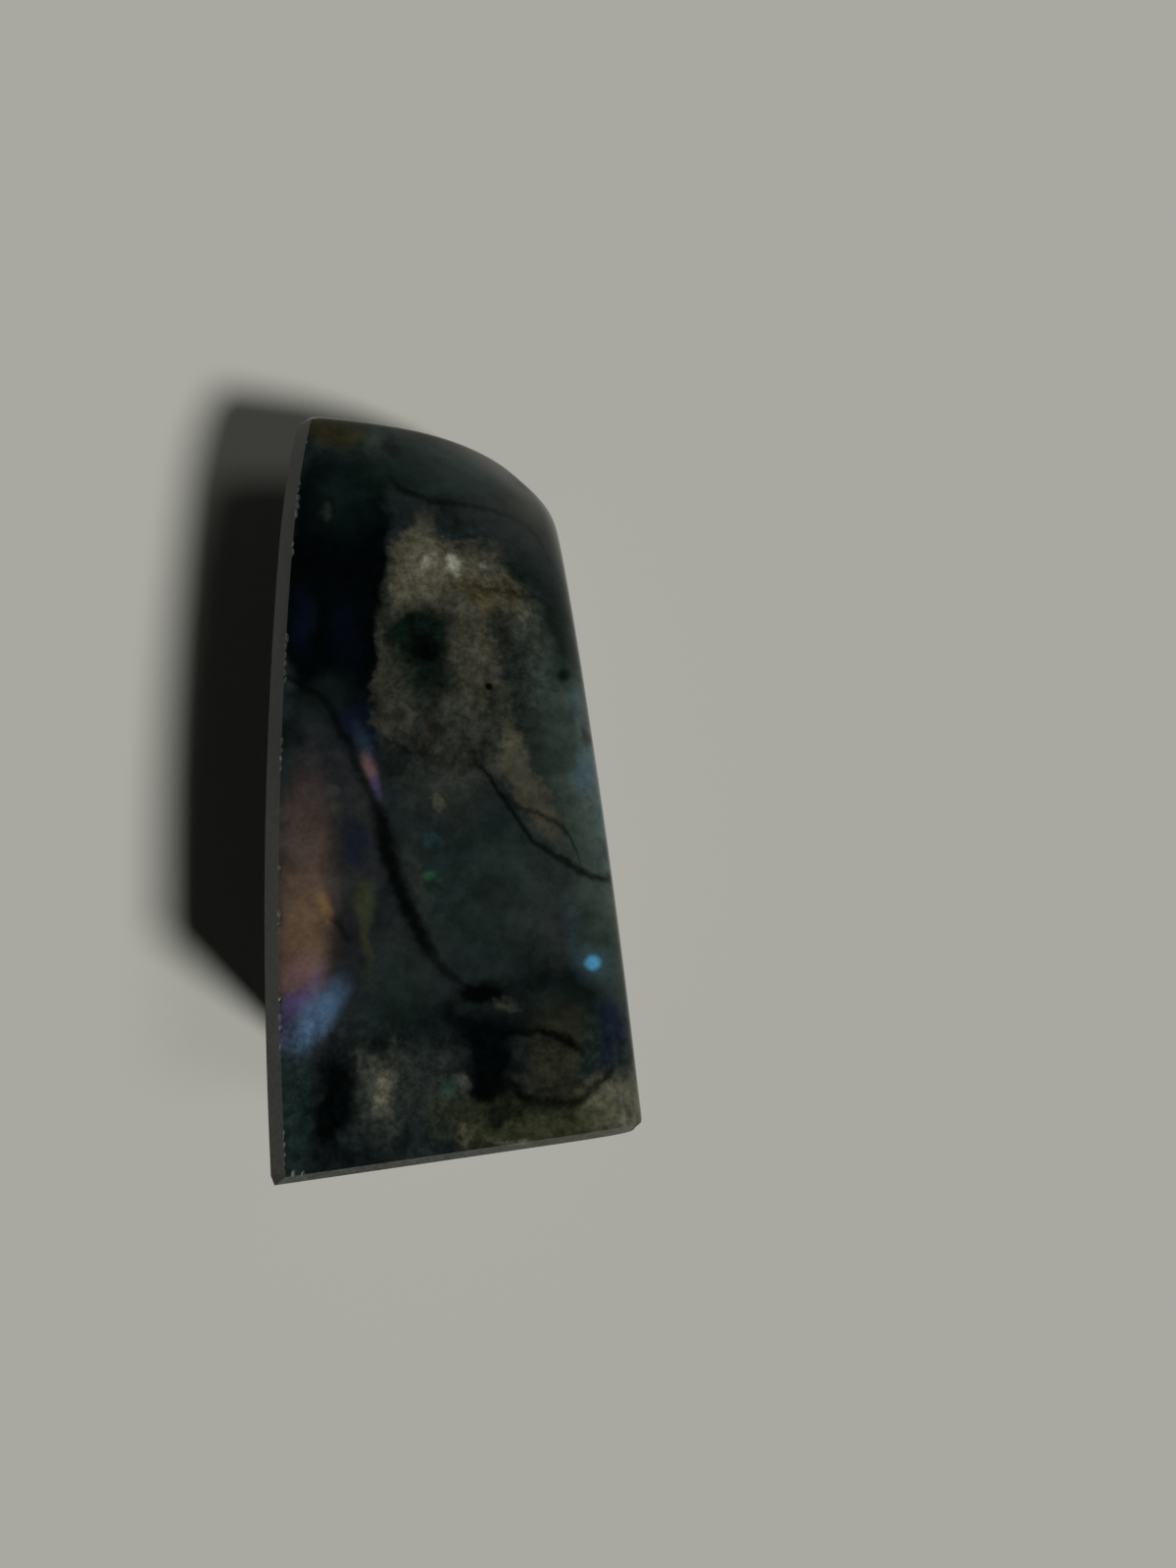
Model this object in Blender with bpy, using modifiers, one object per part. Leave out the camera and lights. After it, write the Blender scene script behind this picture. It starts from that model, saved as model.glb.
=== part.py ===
"""A polished block of labradorite, lying on the flat that was ground into its back.

It is one piece of stone. Its face, left side and base are cut nearly flat, its right side is rounded
over at the shoulder, and its upper right corner is round and falls away towards the surface it lies on.

X runs across the block, Y along it from the base to the top end, and Z up through its thickness.
The origin is the middle of the resting side. Metres throughout.
"""
import math
from dataclasses import dataclass

import bmesh
import bpy
from mathutils import Vector

MM = 0.001
NAME = "labradorite_chunk"
NODE = "labradorite_stone"

# How far each side stands from the middle of the resting side
LEFT_REACH = 15.0 * MM
RIGHT_REACH = 11.95 * MM
END_REACH = 31.05 * MM
BASE_REACH = 30.95 * MM
FACE_HEIGHT = 29.1 * MM

# Where along the block the crowns of the sides are, and the base's left corner and the corner's fall
LEFT_CROWN = 5.35 * MM
RIGHT_CROWN = -2.65 * MM
END_CROWN = -3.6 * MM
BASE_CORNER = -12.25 * MM
FALL_CROWN = Vector((4.8, 21.7, 22.4)) * MM

# How the sides lean, in degrees
FACE_SLOPE = 6.0
RIGHT_TURN = 8.0
BASE_TURN = 8.0
FALL_TURN = 46.0
FALL_STEEPNESS = 60.5

# The hand-ground sides are shallow domes of these radii
FACE_DOME = 2.0
LEFT_DOME = 0.40
RIGHT_DOME = 0.78
END_DOME = 0.60
FALL_DOME = 0.09
FALL_ROUNDING = 9.0 * MM

# The upright corner between the right side and the top end is rounded this broadly
CORNER_ROUNDING = 7.0 * MM

# Widths ground off the edges between two sides
EDGE_WIDTHS = {
    ("face", "left"): 1.5 * MM,
    ("face", "base"): 0.6 * MM,
    ("face", "right"): 1.8 * MM,
    ("face", "end"): 1.2 * MM,
    ("left", "base"): 0.5 * MM,
    ("left", "end"): 0.9 * MM,
    ("right", "base"): 0.9 * MM,
    ("back", "left"): 0.7 * MM,
    ("back", "base"): 0.6 * MM,
    ("back", "right"): 1.2 * MM,
    ("back", "end"): 1.0 * MM,
}
EDGE_STEPS = 3

# Ring cuts that let the domes and the falling corner bend
CUTS_ACROSS = 8
CUTS_ALONG = 20

# Polished labradorite in shade: a green-grey so dark that it is nearly black
STONE_COLOUR = (0.018, 0.024, 0.022, 1.0)
STONE_ROUGHNESS = 0.22

ON_SIDE = 0.999
SETTLING_ROUNDS = 60
SHARP_ANGLE = math.radians(25)


@dataclass(frozen=True)
class Dome:
    """A side ground to a shallow dome: its crown, the way it faces there and the dome's radius."""

    crown: Vector
    facing: Vector
    radius: float

    def over(self, point):
        """Return how far a point stands out of the side, and the way straight out of it there."""
        from_centre = point - (self.crown - self.facing * self.radius)
        return from_centre.length - self.radius, from_centre.normalized()


@dataclass(frozen=True)
class Flat:
    """A side sawn and ground flat: any point on it and the way it faces."""

    point: Vector
    facing: Vector

    def over(self, point):
        """Return how far a point stands out of the side, and the way straight out of it."""
        return (point - self.point).dot(self.facing), self.facing


@dataclass(frozen=True)
class Blend:
    """Two sides that run into each other through a broad rounding."""

    first: Dome
    second: Dome
    rounding: float

    def over(self, point):
        """Return how far a point stands out of the two joined sides, and the way out of them."""
        first_over, first_out = self.first.over(point)
        second_over, second_out = self.second.over(point)
        a = first_over + self.rounding
        b = second_over + self.rounding
        if a <= 0 or b <= 0:
            return (first_over, first_out) if a > b else (second_over, second_out)
        reach = math.hypot(a, b)
        return reach - self.rounding, (first_out * a + second_out * b) / reach


def facing(turn, rise=0.0):
    """Return the unit direction turned from +X towards +Y and then raised, both in degrees."""
    across = math.cos(math.radians(rise))
    turned = math.radians(turn)
    return Vector((across * math.cos(turned), across * math.sin(turned), math.sin(math.radians(rise))))


def block_sides():
    """Return the six sides of the block by name; the face includes the falling corner."""
    face = Dome(Vector((0, 0, FACE_HEIGHT)), facing(90, 90 - FACE_SLOPE), FACE_DOME)
    fall = Dome(FALL_CROWN, facing(FALL_TURN, 90 - FALL_STEEPNESS), FALL_DOME)
    middle = FACE_HEIGHT / 2
    return {
        "left": Dome(Vector((-LEFT_REACH, LEFT_CROWN, middle)), facing(180), LEFT_DOME),
        "right": Dome(Vector((RIGHT_REACH, RIGHT_CROWN, middle)), facing(RIGHT_TURN), RIGHT_DOME),
        "base": Flat(Vector((BASE_CORNER, -BASE_REACH, 0)), facing(BASE_TURN - 90)),
        "end": Dome(Vector((END_CROWN, END_REACH, middle)), facing(90), END_DOME),
        "back": Flat(Vector((0, 0, 0)), Vector((0, 0, -1))),
        "face": Blend(face, fall, FALL_ROUNDING),
    }


AXIS_SIDES = (("left", "right"), ("base", "end"), ("back", "face"))
SIDE_AXIS = {name: axis for axis, pair in enumerate(AXIS_SIDES) for name in pair}


def sides_of(cube_point):
    """Return the names of the sides that a point of the cube, two units wide, lies on."""
    names = []
    for value, (low, high) in zip(cube_point, AXIS_SIDES):
        if value < -ON_SIDE:
            names.append(low)
        elif value > ON_SIDE:
            names.append(high)
    return names


def settle(start, point_sides, sides):
    """Move a point along X, Y or Z, as each side's own axis asks, until it lies on all of its sides."""
    point = start.copy()
    for _ in range(SETTLING_ROUNDS):
        for name in point_sides:
            over, out = sides[name].over(point)
            axis = SIDE_AXIS[name]
            point[axis] -= over / out[axis]
    return point


def round_corner(point, sides):
    """Draw a point in, so that the square rings about the upright corner's axis become round ones."""
    right_over, right_out = sides["right"].over(point)
    end_over, end_out = sides["end"].over(point)
    past_right = right_over + CORNER_ROUNDING
    past_end = end_over + CORNER_ROUNDING
    if past_right <= 0 or past_end <= 0:
        return point
    reach = math.hypot(past_right, past_end)
    out = (right_out * past_right + end_out * past_end) / reach
    return point - out * (reach - max(past_right, past_end))


def cut_cube(bm):
    """Make a cube two units wide, with ring cuts across it and along it."""
    bmesh.ops.create_cube(bm, size=2.0)
    for axis, cuts in ((0, CUTS_ACROSS), (1, CUTS_ALONG)):
        across = Vector((0, 0, 0))
        across[axis] = 1.0
        for step in range(1, cuts):
            place = across * (2.0 * step / cuts - 1.0)
            whole = bm.verts[:] + bm.edges[:] + bm.faces[:]
            bmesh.ops.bisect_plane(bm, geom=whole, plane_co=place, plane_no=across)


def shape_cube(bm, sides):
    """Move the cube's points out to the sides of the block."""
    half = Vector((LEFT_REACH, END_REACH, FACE_HEIGHT / 2))
    corners = {}
    for x in (-1, 1):
        for y in (-1, 1):
            for z in (-1, 1):
                start = Vector((half.x * x, half.y * y, half.z * (z + 1)))
                corners[x, y, z] = settle(start, sides_of((x, y, z)), sides)
    for vert in bm.verts:
        point_sides = sides_of(vert.co)
        start = Vector((0, 0, 0))
        for signs, corner in corners.items():
            share = math.prod((1 + sign * value) / 2 for sign, value in zip(signs, vert.co))
            start += corner * share
        drawn_in = round_corner(settle(start, point_sides, sides), sides)
        upper_or_lower = [name for name in point_sides if name in ("face", "back")]
        vert.co = settle(drawn_in, upper_or_lower, sides)


def weigh_edges(bm):
    """Give each edge between two sides its share of the widest edge, while it is still a cube."""
    widest = max(EDGE_WIDTHS.values())
    weights = bm.edges.layers.float.new("bevel_weight_edge")
    for edge in bm.edges:
        shared = set(sides_of(edge.verts[0].co)) & set(sides_of(edge.verts[1].co))
        for pair, width in EDGE_WIDTHS.items():
            if shared == set(pair):
                edge[weights] = width / widest
    return widest


def stone_material():
    """Return the stone's plain dark material."""
    material = bpy.data.materials.new("labradorite")
    material.use_nodes = True
    shader = material.node_tree.nodes["Principled BSDF"]
    shader.inputs["Base Color"].default_value = STONE_COLOUR
    shader.inputs["Roughness"].default_value = STONE_ROUGHNESS
    shader.inputs["Metallic"].default_value = 0.0
    return material


def add_stone(collection):
    """Build the block, round its edges and put it in the collection."""
    bm = bmesh.new()
    cut_cube(bm)
    widest = weigh_edges(bm)
    shape_cube(bm, block_sides())
    bmesh.ops.recalc_face_normals(bm, faces=bm.faces[:])
    mesh = bpy.data.meshes.new(NODE)
    bm.to_mesh(mesh)
    bm.free()
    mesh.materials.append(stone_material())
    mesh.shade_smooth()
    mesh.set_sharp_from_angle(angle=SHARP_ANGLE)
    stone = bpy.data.objects.new(NODE, mesh)
    collection.objects.link(stone)
    edges = stone.modifiers.new("Ground edges", "BEVEL")
    edges.limit_method = "WEIGHT"
    edges.width = widest
    edges.segments = EDGE_STEPS
    edges.use_clamp_overlap = False
    return stone


def main():
    """Clear the scene and build the stone in its own collection."""
    for old in list(bpy.data.objects):
        bpy.data.objects.remove(old, do_unlink=True)
    collection = bpy.data.collections.new(NAME)
    bpy.context.scene.collection.children.link(collection)
    add_stone(collection)


main()
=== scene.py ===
"""Dresses the polished labradorite block: its ground edges, its chipped arris and its stone.

The block is one piece. Its sizes repeat those of the solid in the frame: six hand-ground sides, of which
the face falls away at the upper right corner. Metres throughout, with MM for sizes given in millimetres.
Places inside the stone, for its patches and veins, are in millimetres from the middle of the resting side.
"""

import logging
import math
from collections.abc import Iterator
from contextlib import contextmanager
from dataclasses import dataclass
from enum import Enum
from functools import partial
from typing import Protocol

import bmesh
import bpy
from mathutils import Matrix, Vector, noise


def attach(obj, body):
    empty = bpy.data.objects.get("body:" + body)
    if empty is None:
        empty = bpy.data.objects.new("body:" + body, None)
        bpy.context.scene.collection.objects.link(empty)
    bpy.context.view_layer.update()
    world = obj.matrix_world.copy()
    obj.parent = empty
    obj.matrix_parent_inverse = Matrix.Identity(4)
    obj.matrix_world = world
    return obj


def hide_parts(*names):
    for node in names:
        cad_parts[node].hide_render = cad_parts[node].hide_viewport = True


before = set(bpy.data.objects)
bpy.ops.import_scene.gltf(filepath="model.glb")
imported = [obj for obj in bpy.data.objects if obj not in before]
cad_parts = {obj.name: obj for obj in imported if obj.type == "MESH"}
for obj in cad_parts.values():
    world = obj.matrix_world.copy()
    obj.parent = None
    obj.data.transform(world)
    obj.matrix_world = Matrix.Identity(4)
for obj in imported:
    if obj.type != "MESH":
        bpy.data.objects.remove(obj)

LOG = logging.getLogger("labradorite")
MM = 0.001
NODE = "labradorite_stone"
Colour = tuple[float, float, float]
Place = tuple[float, float, float]
Given = dict[str | int, object]


class Side(Enum):
    """The six sides of the block."""

    LEFT = 0
    RIGHT = 1
    BASE = 2
    END = 3
    BACK = 4
    FACE = 5


class Surface(Protocol):
    """A side's surface, which says how far out of it a point stands."""

    def over(self, point: Vector) -> tuple[float, Vector]:
        """Return how far a point stands out of the side, and the way straight out of it there."""


@dataclass(frozen=True)
class Dome:
    """A side ground to a shallow dome.

    Args:
        crown: The dome's highest point.
        facing: The way the side faces at its crown.
        radius: The dome's radius.
    """

    crown: Vector
    facing: Vector
    radius: float

    def over(self, point: Vector) -> tuple[float, Vector]:
        """Return how far a point stands out of the side, and the way straight out of it there."""
        from_centre = point - (self.crown - self.facing * self.radius)
        return from_centre.length - self.radius, from_centre.normalized()


@dataclass(frozen=True)
class Flat:
    """A side sawn and ground flat.

    Args:
        point: Any point on the side.
        facing: The way the side faces.
    """

    point: Vector
    facing: Vector

    def over(self, point: Vector) -> tuple[float, Vector]:
        """Return how far a point stands out of the side, and the way straight out of it."""
        return (point - self.point).dot(self.facing), self.facing


@dataclass(frozen=True)
class Blend:
    """Two sides that run into each other through a broad rounding.

    Args:
        first: One side.
        second: The side that it runs into.
        rounding: The radius of the rounding between them.
    """

    first: Dome
    second: Dome
    rounding: float

    def over(self, point: Vector) -> tuple[float, Vector]:
        """Return how far a point stands out of the two joined sides, and the way out of them."""
        first_over, first_out = self.first.over(point)
        second_over, second_out = self.second.over(point)
        a = first_over + self.rounding
        b = second_over + self.rounding
        if a <= 0 or b <= 0:
            return (first_over, first_out) if a > b else (second_over, second_out)
        reach = math.hypot(a, b)
        return reach - self.rounding, (first_out * a + second_out * b) / reach


def facing(turn: float, rise: float = 0.0) -> Vector:
    """Return a unit direction.

    Args:
        turn: Degrees from +X towards +Y.
        rise: Degrees up from there.

    Returns:
        The direction.
    """
    across = math.cos(math.radians(rise))
    turned = math.radians(turn)
    return Vector((across * math.cos(turned), across * math.sin(turned), math.sin(math.radians(rise))))


@dataclass(frozen=True)
class BlockForm:
    """Where the six sides of the block are, as the solid in the frame has them."""

    left_reach: float = 15.0 * MM
    right_reach: float = 11.95 * MM
    end_reach: float = 31.05 * MM
    base_reach: float = 30.95 * MM
    face_height: float = 29.1 * MM
    left_crown: float = 5.35 * MM
    right_crown: float = -2.65 * MM
    end_crown: float = -3.6 * MM
    base_corner: float = -12.25 * MM
    fall_crown: Place = (4.8 * MM, 21.7 * MM, 22.4 * MM)
    face_slope: float = 6.0
    right_turn: float = 8.0
    base_turn: float = 8.0
    fall_turn: float = 46.0
    fall_steepness: float = 60.5
    face_dome: float = 2.0
    left_dome: float = 0.40
    right_dome: float = 0.78
    end_dome: float = 0.60
    fall_dome: float = 0.09
    fall_rounding: float = 9.0 * MM
    corner_rounding: float = 7.0 * MM

    def sides(self) -> dict[Side, Surface]:
        """Return the surface of each side; the face's includes the falling corner."""
        face = Dome(Vector((0, 0, self.face_height)), facing(90, 90 - self.face_slope), self.face_dome)
        fall = Dome(Vector(self.fall_crown), facing(self.fall_turn, 90 - self.fall_steepness), self.fall_dome)
        middle = self.face_height / 2
        right = Vector((self.right_reach, self.right_crown, middle))
        return {
            Side.LEFT: Dome(Vector((-self.left_reach, self.left_crown, middle)), facing(180), self.left_dome),
            Side.RIGHT: Dome(right, facing(self.right_turn), self.right_dome),
            Side.BASE: Flat(Vector((self.base_corner, -self.base_reach, 0)), facing(self.base_turn - 90)),
            Side.END: Dome(Vector((self.end_crown, self.end_reach, middle)), facing(90), self.end_dome),
            Side.BACK: Flat(Vector((0, 0, 0)), Vector((0, 0, -1))),
            Side.FACE: Blend(face, fall, self.fall_rounding),
        }

    def round_corner(self, point: Vector, sides: dict[Side, Surface]) -> Vector:
        """Return a point drawn in, so that square rings about the upright corner's axis become round ones."""
        right_over, right_out = sides[Side.RIGHT].over(point)
        end_over, end_out = sides[Side.END].over(point)
        past_right = right_over + self.corner_rounding
        past_end = end_over + self.corner_rounding
        if past_right <= 0 or past_end <= 0:
            return point
        reach = math.hypot(past_right, past_end)
        out = (right_out * past_right + end_out * past_end) / reach
        return point - out * (reach - max(past_right, past_end))

    def half(self) -> Vector:
        """Return half the block's size, before its sides are bent."""
        return Vector((self.left_reach, self.end_reach, self.face_height / 2))


@dataclass(frozen=True)
class Wiring:
    """Adds nodes to one tree and joins them.

    Args:
        tree: The node tree to work in.
    """

    tree: bpy.types.NodeTree

    def add(self, kind: str, given: Given | None = None, **settings: object) -> bpy.types.Node:
        """Add a node.

        Args:
            kind: The node's type name.
            given: What its inputs get, by name or number.
            settings: Values for the node's own properties.

        Returns:
            The new node.
        """
        node = self.tree.nodes.new(kind)
        for name, value in settings.items():
            setattr(node, name, value)
        self.fill(node, given or {})
        return node

    def fill(self, node: bpy.types.Node, given: Given) -> None:
        """Join outputs to a node's inputs, or set the inputs' values."""
        for key, value in given.items():
            if isinstance(value, bpy.types.NodeSocket):
                self.tree.links.new(value, node.inputs[key])
            else:
                node.inputs[key].default_value = value

    def math(self, operation: str, *values: object) -> bpy.types.NodeSocket:
        """Return the result of a Math node on the values."""
        return self.add("ShaderNodeMath", dict(enumerate(values)), operation=operation).outputs[0]

    def vector(self, operation: str, *values: object) -> bpy.types.NodeSocket:
        """Return the vector result of a Vector Math node on the values."""
        given = dict(enumerate(values))
        return self.add("ShaderNodeVectorMath", given, operation=operation).outputs["Vector"]

    def length(self, value: object) -> bpy.types.NodeSocket:
        """Return the length of a vector."""
        return self.add("ShaderNodeVectorMath", {0: value}, operation="LENGTH").outputs["Value"]

    def scaled(self, value: object, scale: object) -> bpy.types.NodeSocket:
        """Return a vector times a number."""
        given = {0: value, "Scale": scale}
        return self.add("ShaderNodeVectorMath", given, operation="SCALE").outputs["Vector"]

    def split(self, value: object) -> tuple[bpy.types.NodeSocket, ...]:
        """Return the X, Y and Z of a vector."""
        return tuple(self.add("ShaderNodeSeparateXYZ", {0: value}).outputs)

    def ease(self, value: object, start: object, end: object) -> bpy.types.NodeSocket:
        """Return a value's smooth way from start, where it is 0, to end, where it is 1."""
        given = {"Value": value, "From Min": start, "From Max": end}
        return self.add("ShaderNodeMapRange", given, interpolation_type="SMOOTHSTEP").outputs["Result"]

    def mix(self, share: object, under: object, over: object) -> bpy.types.NodeSocket:
        """Return one colour laid over another by a share from 0 to 1, both as vectors."""
        return self.add("ShaderNodeMix", {0: share, 4: under, 5: over}, data_type="VECTOR").outputs[1]

    def after(self, place: object, colour: object) -> bpy.types.NodeSocket:
        """Return the same place, held back until a colour is known.

        A patch that is worked out before its turn is one more number for the renderer to keep, and it can
        keep about two hundred. The colour's share is far too small to move the place.
        """
        return self.vector("MULTIPLY_ADD", colour, (1e-9, 1e-9, 1e-9), place)

    def clouds(self, place: object, scale: float, detail: float, rough: float = 0.5) -> bpy.types.Node:
        """Return a Noise Texture node.

        Args:
            place: The vector that it reads, in millimetres.
            scale: How many times it repeats in a millimetre.
            detail: How many finer layers it has.
            rough: How strong the finer layers are.

        Returns:
            The node, with its Fac and Color outputs.
        """
        given = {"Vector": place, "Scale": scale, "Detail": detail, "Roughness": rough}
        return self.add("ShaderNodeTexNoise", given, noise_dimensions="3D")


class Tint(Enum):
    """The colours in the stone, and the painted flashes, glint and sheen laid into it."""

    BODY = (0.016, 0.023, 0.022)
    DEEP = (0.006, 0.010, 0.009)
    PALE = (0.032, 0.038, 0.033)
    NIGHT = (0.0010, 0.0022, 0.0024)
    NAVY = (0.005, 0.009, 0.024)
    TAN = (0.082, 0.078, 0.052)
    CREAM = (0.165, 0.158, 0.108)
    TEAL = (0.015, 0.032, 0.027)
    BOTTLE = (0.004, 0.010, 0.007)
    # Pale green streaks in the stone, and the painted sheen of light along the right shoulder
    STRIP = (0.046, 0.064, 0.052)
    # Painted sheen: the brightest light on the right shoulder
    MIST = (0.092, 0.128, 0.122)
    # Painted flashes: coloured light that the stone's layers reflect only at some angles, laid into its
    # colour
    BLUE_FLASH = (0.040, 0.085, 0.110)
    CYAN_FLASH = (0.070, 0.300, 0.480)
    EMBER_FLASH = (0.150, 0.096, 0.070)
    ROSE_FLASH = (0.150, 0.085, 0.092)
    VIOLET_FLASH = (0.085, 0.070, 0.170)
    AZURE_FLASH = (0.085, 0.155, 0.250)
    AMBER_FLASH = (0.190, 0.115, 0.055)
    OLIVE = (0.040, 0.044, 0.021)
    LEAF = (0.030, 0.110, 0.055)
    BROWN = (0.028, 0.026, 0.011)
    UMBER = (0.030, 0.029, 0.017)
    RUST = (0.040, 0.020, 0.012)
    GOLD = (0.070, 0.060, 0.028)
    # Painted glint: white light reflected inside the window
    PAINTED_GLINT = (0.300, 0.300, 0.240)
    # Painted flash: the brightest orange of the long flash
    BLAZE_FLASH = (0.190, 0.120, 0.070)
    ASH = (0.050, 0.056, 0.045)
    DUSK = (0.024, 0.022, 0.026)
    VEIN = (0.0012, 0.0018, 0.0015)


class Outline(Enum):
    """How a patch ends: round, or as a rounded box."""

    ROUND = "round"
    BOXY = "boxy"


class Border(Enum):
    """How a patch's border wanders: hardly, in clouds or in grains as well."""

    CLEAN = "clean"
    CLOUDY = "cloudy"
    GRAINY = "grainy"


def face_height(y: float) -> float:
    """Return how high the face is above the resting side at a distance along the block, in millimetres."""
    form = BlockForm()
    return form.face_height / MM - math.tan(math.radians(form.face_slope)) * y


@dataclass(frozen=True)
class Patch:
    """A cloud of one colour in the stone, in millimetres.

    Args:
        x: Its middle across the block.
        y: Its middle along the block.
        wide: Half its width.
        long: Half its length.
        tint: Its colour.
        share: How much it covers, from 0 to 1.
        soft: How much of its radius the fade takes.
        turn: Degrees from +X towards +Y that its width is turned.
        outline: How it ends.
        border: How its border wanders.
        deep: Half its depth.
        drop: How far its middle is under the face.
    """

    x: float
    y: float
    wide: float
    long: float
    tint: Tint
    share: float = 1.0
    soft: float = 0.5
    turn: float = 0.0
    outline: Outline = Outline.ROUND
    border: Border = Border.CLOUDY
    deep: float = 7.0
    drop: float = 0.0


# Patches whose borders break up into grains, and patches whose borders hardly wander
grainy = partial(Patch, border=Border.GRAINY)
clean = partial(Patch, border=Border.CLEAN)


@dataclass(frozen=True)
class Vein:
    """A dark healed crack that runs down through the stone, in millimetres.

    Args:
        points: Its line on the face, as pairs of x and y.
        along_y: Whether its line is followed along Y, and along X otherwise.
        width: Half its width.
        soft: How far its border fades.
        share: How dark it is, from 0 to 1.
        lean: How far it moves across for each millimetre down.
    """

    points: tuple[tuple[float, float], ...]
    along_y: bool
    width: float
    soft: float
    share: float = 1.0
    lean: float = 0.25


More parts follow.
